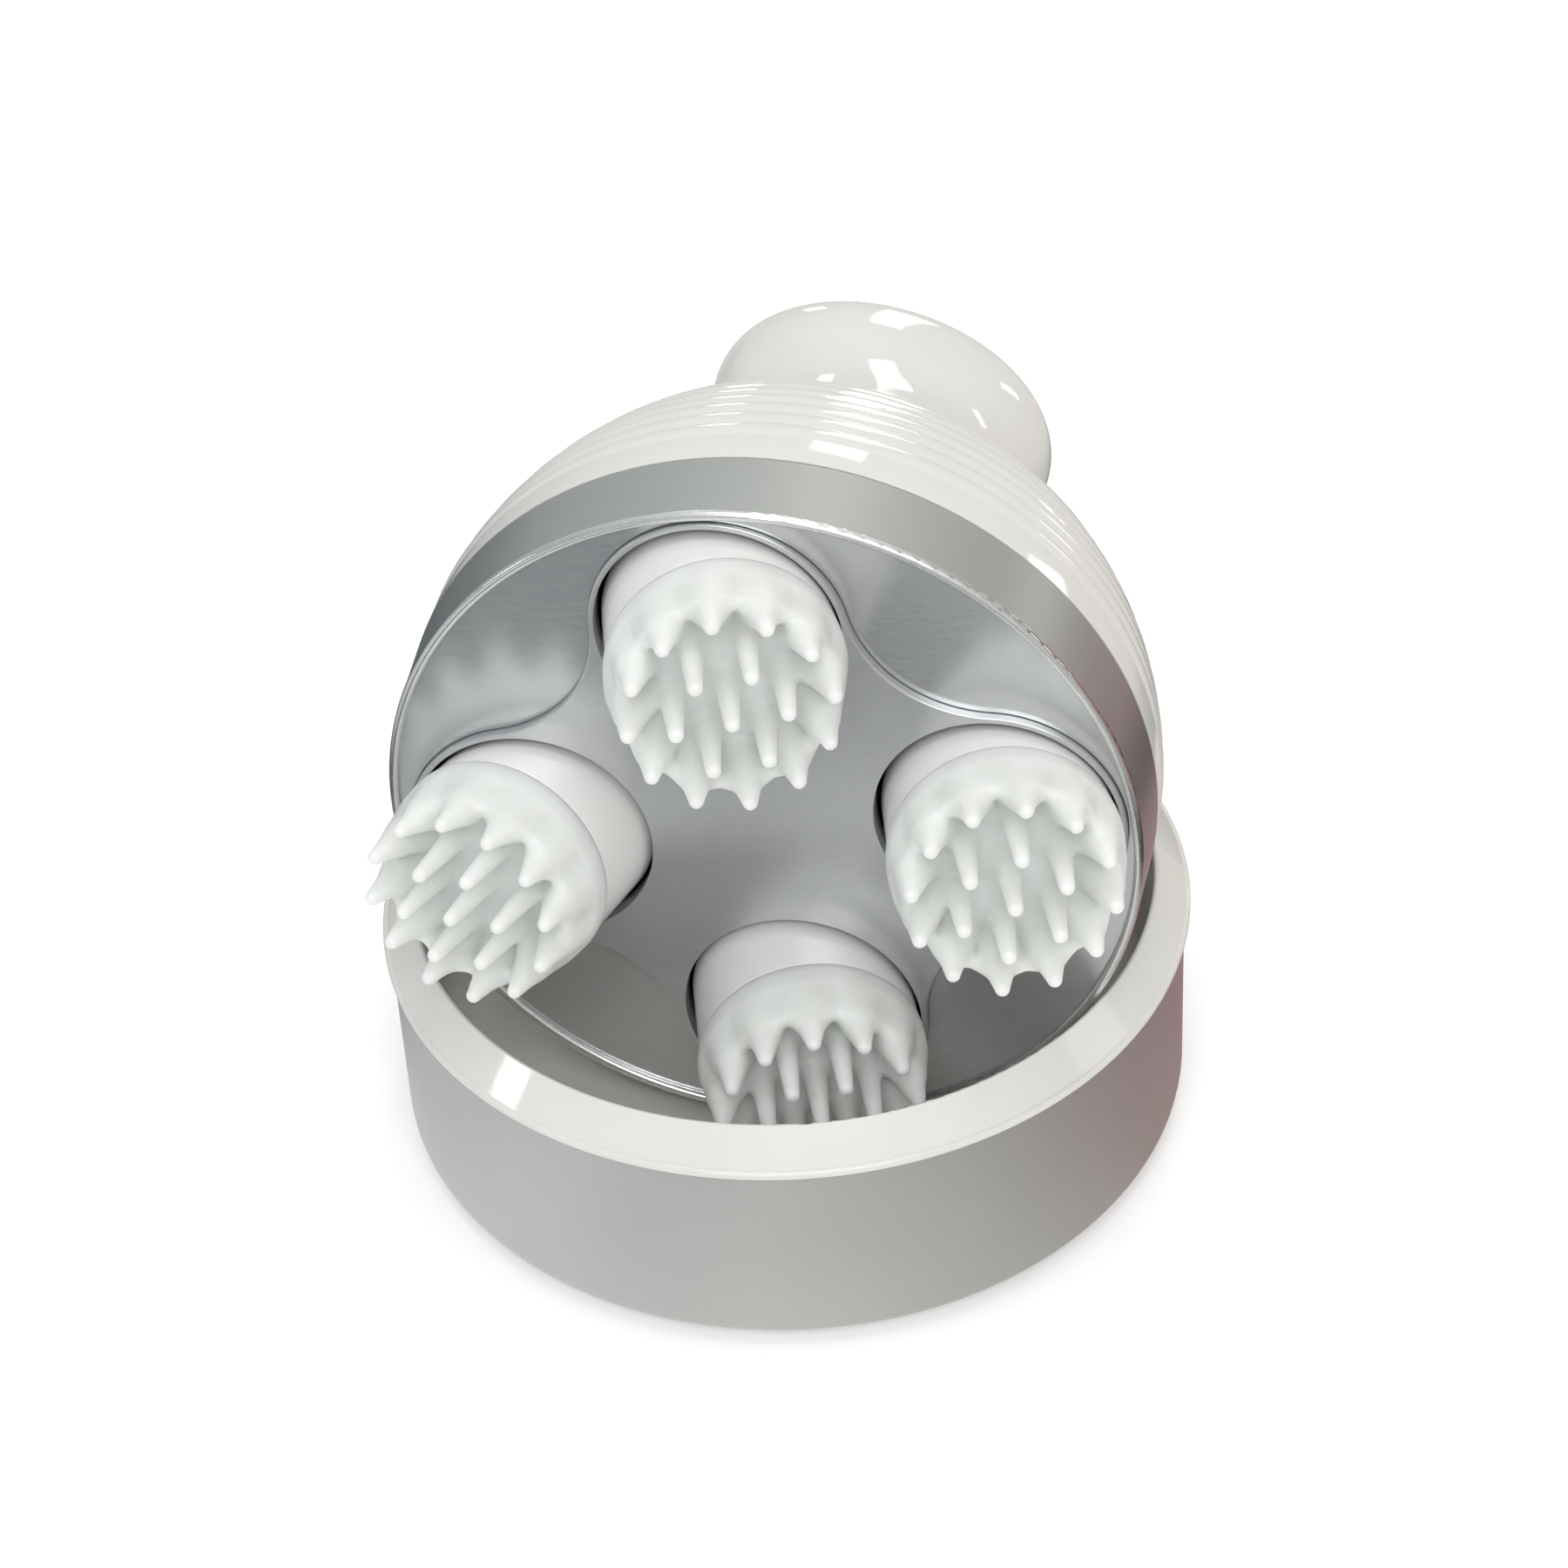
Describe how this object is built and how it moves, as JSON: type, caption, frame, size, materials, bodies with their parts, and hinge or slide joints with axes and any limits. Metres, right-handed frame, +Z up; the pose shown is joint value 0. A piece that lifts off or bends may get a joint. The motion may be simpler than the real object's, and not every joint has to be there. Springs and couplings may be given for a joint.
{
  "type": "electric scalp massager",
  "caption": "Round massager with leaning silicone finger heads on a silver face, a glossy white dome and an oval knob handle, lying across a drum-shaped stand.",
  "frame": {"origin": "centre of the stand's foot, on the surface that it stands on", "axes": "+Z up; the face of the massager looks towards -Y and a little towards -X; +X to the right"},
  "size_m": [0.1082, 0.1388, 0.1076],
  "materials": {
    "satin_silver": "satin anodised silver",
    "silver_plate": "satin silver metallised plastic",
    "white_gloss": "glossy warm white",
    "grey_liner": "smooth warm grey",
    "silicone": "milky translucent silicone",
    "black_rubber": "matte black",
    "steel": "plain",
    "bronze": "plain",
    "gear_plastic": "natural acetal",
    "inner_plastic": "matte black",
    "board_green": "green solder mask",
    "cell_wrap": "blue shrink wrap",
    "frosted_ring": "frosted white",
    "button_white": "smooth white"
  },
  "bodies": {
    "stand": {"drum": "satin_silver", "foot_ring": "black_rubber", "ballast_plate": "steel", "cup_liner": "grey_liner", "rim_ring": "white_gloss", "stand_screws": "steel"},
    "massager": {"silver_band": "satin_silver", "face_plate": "silver_plate", "face_panel": "silver_plate", "seam_gasket": "black_rubber", "dome_shell": "white_gloss", "knob_shell": "white_gloss", "crown_cap": "white_gloss", "light_ring": "frosted_ring", "gear_cover": "inner_plastic", "hub_seals": "black_rubber", "chassis_plate": "inner_plastic", "head_axles": "steel", "thrust_washers": "steel", "face_screws": "steel", "chassis_screws": "steel", "drive_bush": "bronze", "motor_gearbox": "inner_plastic", "motor_can": "steel", "motor_screws": "steel", "circuit_board": "board_green", "board_standoffs": "bronze", "battery_cell": "cell_wrap", "cell_cradle": "inner_plastic", "charge_socket": "steel", "socket_board": "board_green", "switch_board": "board_green", "tactile_switch": "inner_plastic"},
    "drive": {"drive_gear": "gear_plastic", "drive_shaft": "steel"},
    "button": {"power_button": "button_white"},
    "head_right": {"head_gear_right": "gear_plastic", "collar_right": "white_gloss", "head_screw_right": "steel", "finger_pad_right": "silicone"},
    "head_top": {"head_gear_top": "gear_plastic", "collar_top": "white_gloss", "head_screw_top": "steel", "finger_pad_top": "silicone"},
    "head_left": {"head_gear_left": "gear_plastic", "collar_left": "white_gloss", "head_screw_left": "steel", "finger_pad_left": "silicone"},
    "head_bottom": {"head_gear_bottom": "gear_plastic", "collar_bottom": "white_gloss", "head_screw_bottom": "steel", "finger_pad_bottom": "silicone"}
  },
  "joints": [
    {"name": "massager_lift", "type": "slide", "parent": "stand", "child": "massager", "axis": [0, 0, 1], "range_m": [0, 0.12]},
    {"name": "head_top_spin", "type": "hinge", "parent": "massager", "child": "head_top", "pos_m": [-0.00636, -0.01808, 0.08901], "axis": [-0.2181, -0.9756, 0.0244], "continuous": true},
    {"name": "head_right_spin", "type": "hinge", "parent": "massager", "child": "head_right", "pos_m": [0.02691, -0.02617, 0.06303], "axis": [-0.2181, -0.9756, 0.0244], "continuous": true},
    {"name": "head_left_spin", "type": "hinge", "parent": "massager", "child": "head_left", "pos_m": [-0.03191, -0.01323, 0.05479], "axis": [-0.2181, -0.9756, 0.0244], "continuous": true},
    {"name": "head_bottom_spin", "type": "hinge", "parent": "massager", "child": "head_bottom", "pos_m": [0.00136, -0.02132, 0.02881], "axis": [-0.2181, -0.9756, 0.0244], "continuous": true},
    {"name": "drive_spin", "type": "hinge", "parent": "massager", "child": "drive", "pos_m": [-0.0025, -0.0197, 0.05891], "axis": [-0.2181, -0.9756, 0.0244], "continuous": true},
    {"name": "button_press", "type": "slide", "parent": "massager", "child": "button", "axis": [-0.2181, -0.9756, 0.0244], "range_m": [0, 0.001], "stiffness_N_per_m": 1200, "springref_m": -0.0002}
  ],
  "couplings": [
    {"joint": "head_right_spin", "follows": "head_top_spin", "ratio": 1},
    {"joint": "head_left_spin", "follows": "head_top_spin", "ratio": 1},
    {"joint": "head_bottom_spin", "follows": "head_top_spin", "ratio": 1},
    {"joint": "drive_spin", "follows": "head_top_spin", "ratio": -0.63158}
  ]
}
